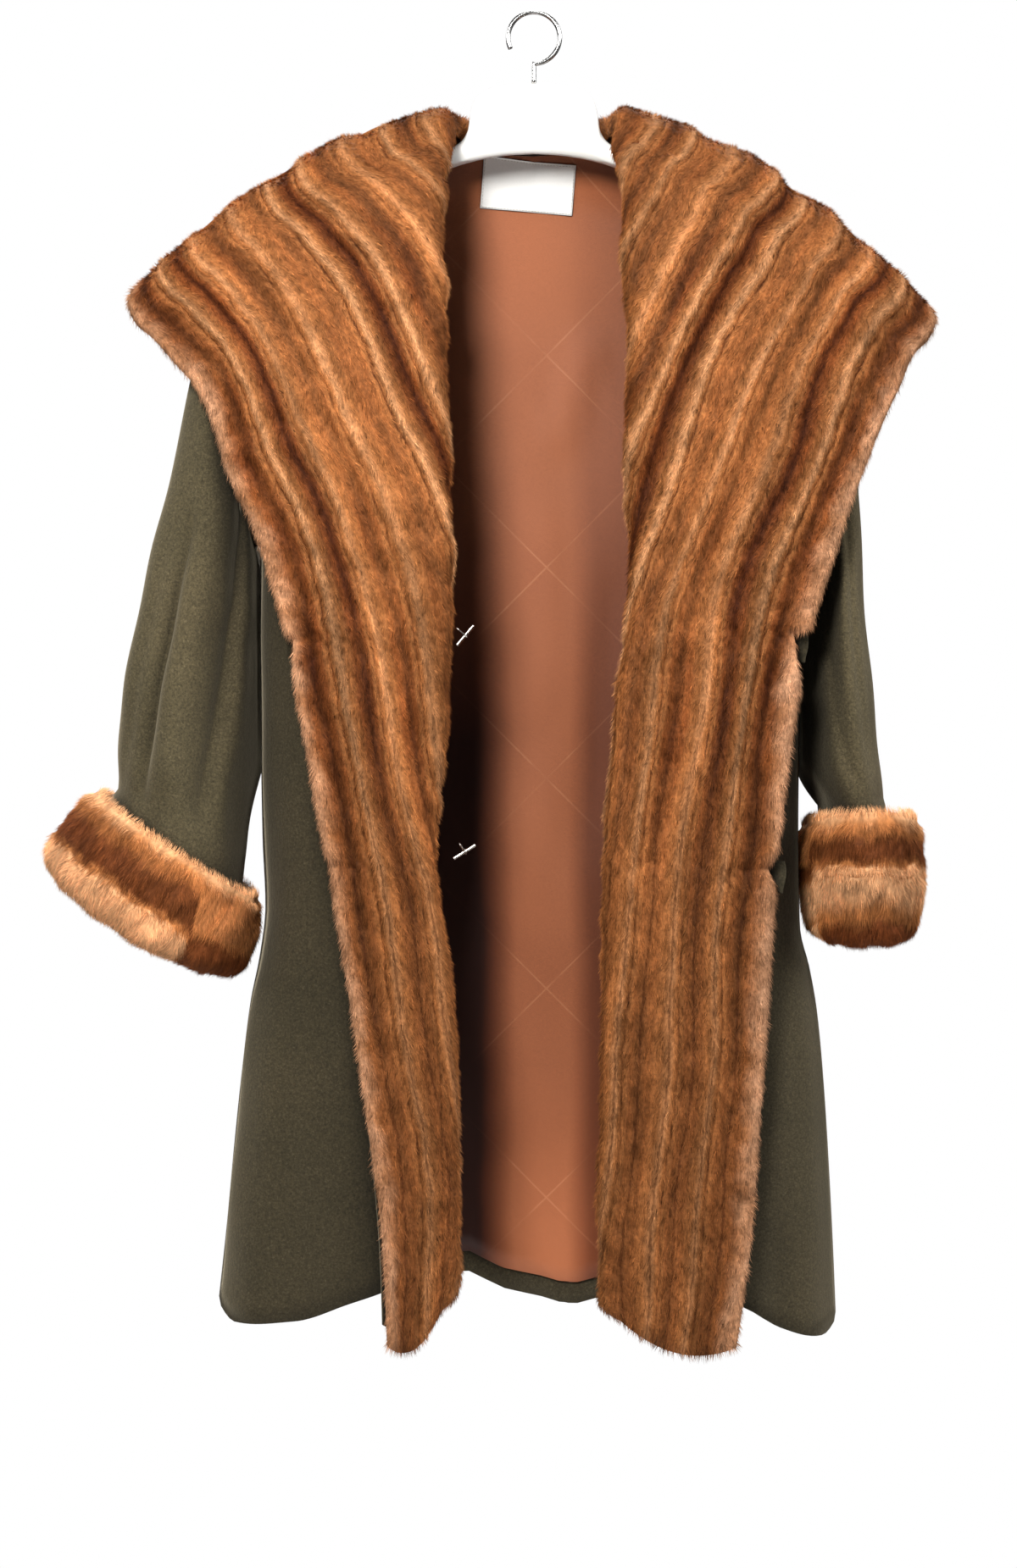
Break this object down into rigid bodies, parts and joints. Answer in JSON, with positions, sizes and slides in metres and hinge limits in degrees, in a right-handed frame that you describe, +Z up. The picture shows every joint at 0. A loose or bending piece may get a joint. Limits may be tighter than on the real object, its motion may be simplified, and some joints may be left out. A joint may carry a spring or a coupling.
{
  "type": "fur-trimmed wool coat on a hanger",
  "caption": "Knee-length wool swing coat hanging open on a moulded hanger, with a full-length turned-back fur revers, a wide fur collar and fur cuffs.",
  "frame": {"origin": "inside top of the hanger's hook, where a rod carries it", "axes": "+Z up, -Y the coat's front, +X the viewer's right when facing the front"},
  "size_m": [0.7578, 0.2336, 1.1324],
  "materials": {
    "wool": "dark olive melton wool with a short nap",
    "fur": "brown mink in vertical strips with darker centres",
    "lining": "copper brown woven satin",
    "label": "plain white satin",
    "toggle_metal": "polished silver-coloured metal",
    "hanger_plastic": "white moulded plastic, satin",
    "hook_steel": "plated steel wire"
  },
  "bodies": {
    "root": {"back": "wool", "front_left": "wool", "front_right": "wool", "sleeve_left": "wool", "sleeve_right": "wool", "backing_front_left": "wool", "backing_front_right": "wool", "backing_collar": "wool", "loop_upper": "wool", "loop_lower": "wool", "lining_back": "lining", "lining_front_left": "lining", "lining_front_right": "lining", "fur_front_left": "fur", "fur_front_right": "fur", "fur_collar": "fur", "cuff_left": "fur", "cuff_right": "fur", "label": "label", "toggle_bar_upper": "toggle_metal", "toggle_bar_lower": "toggle_metal", "toggle_link_upper": "toggle_metal", "toggle_link_lower": "toggle_metal", "hanger": "hanger_plastic", "hook": "hook_steel"}
  },
  "joints": []
}
